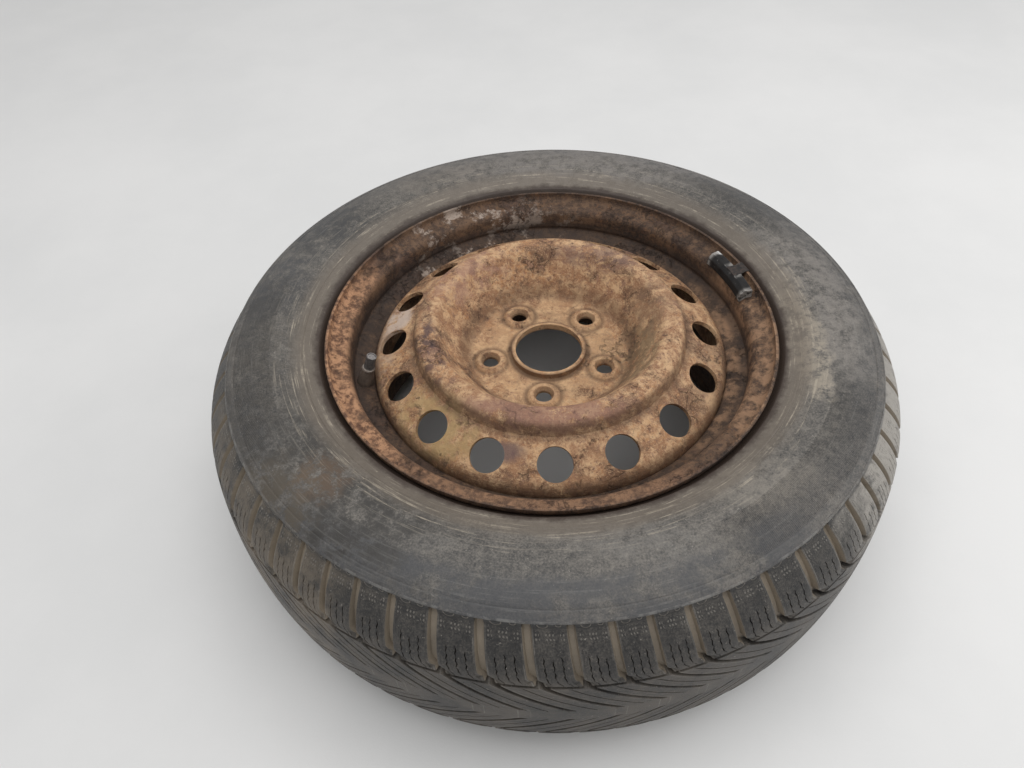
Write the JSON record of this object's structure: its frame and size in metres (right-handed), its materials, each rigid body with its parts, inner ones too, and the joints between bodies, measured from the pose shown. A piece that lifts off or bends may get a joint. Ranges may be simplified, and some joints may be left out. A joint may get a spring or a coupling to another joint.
{
  "type": "spare wheel",
  "caption": "Pressed steel spare wheel with round vent holes, tubeless winter tyre, snap-in valve with screw cap, and a clip-on balance weight.",
  "frame": {"origin": "on the floor under the middle of the wheel, which lies flat on the tyre's inner side", "axes": "+Z along the wheel's axis towards its outer side, -Y towards the viewer of the picture"},
  "size_m": [0.6489, 0.649, 0.2096],
  "materials": {
    "tyre_rubber": "dusty, worn",
    "rim_steel": "rusted",
    "disc_steel": "flaking rust",
    "lead": "dull, scratched",
    "spring_steel": "dull",
    "valve_rubber": "matt, dusty",
    "brass": "dull",
    "gasket_plastic": "matt",
    "cap_plastic": "matt, dusty"
  },
  "bodies": {
    "wheel": {"tyre": "tyre_rubber", "rim": "rim_steel", "disc": "disc_steel", "disc_welds": "rim_steel", "balance_weight": "lead", "weight_clip": "spring_steel", "valve_body": "valve_rubber", "valve_stem": "brass", "core_plug": "brass", "core_barrel": "brass", "core_gasket": "gasket_plastic", "core_spring": "spring_steel"},
    "core_pin": {"core_pin": "spring_steel", "core_cup": "brass", "core_seal": "valve_rubber"},
    "valve_cap": {"valve_cap": "cap_plastic", "cap_gasket": "valve_rubber"}
  },
  "joints": [
    {"name": "cap_off", "type": "slide", "parent": "wheel", "child": "valve_cap", "axis": [0.3319, 0.0827, 0.9397], "range_m": [0, 0.016]},
    {"name": "pin_press", "type": "slide", "parent": "wheel", "child": "core_pin", "axis": [-0.3319, -0.0827, -0.9397], "range_m": [0, 0.0012], "stiffness_N_per_m": 800, "springref_m": -0.002, "deforming": ["core_spring"]}
  ]
}
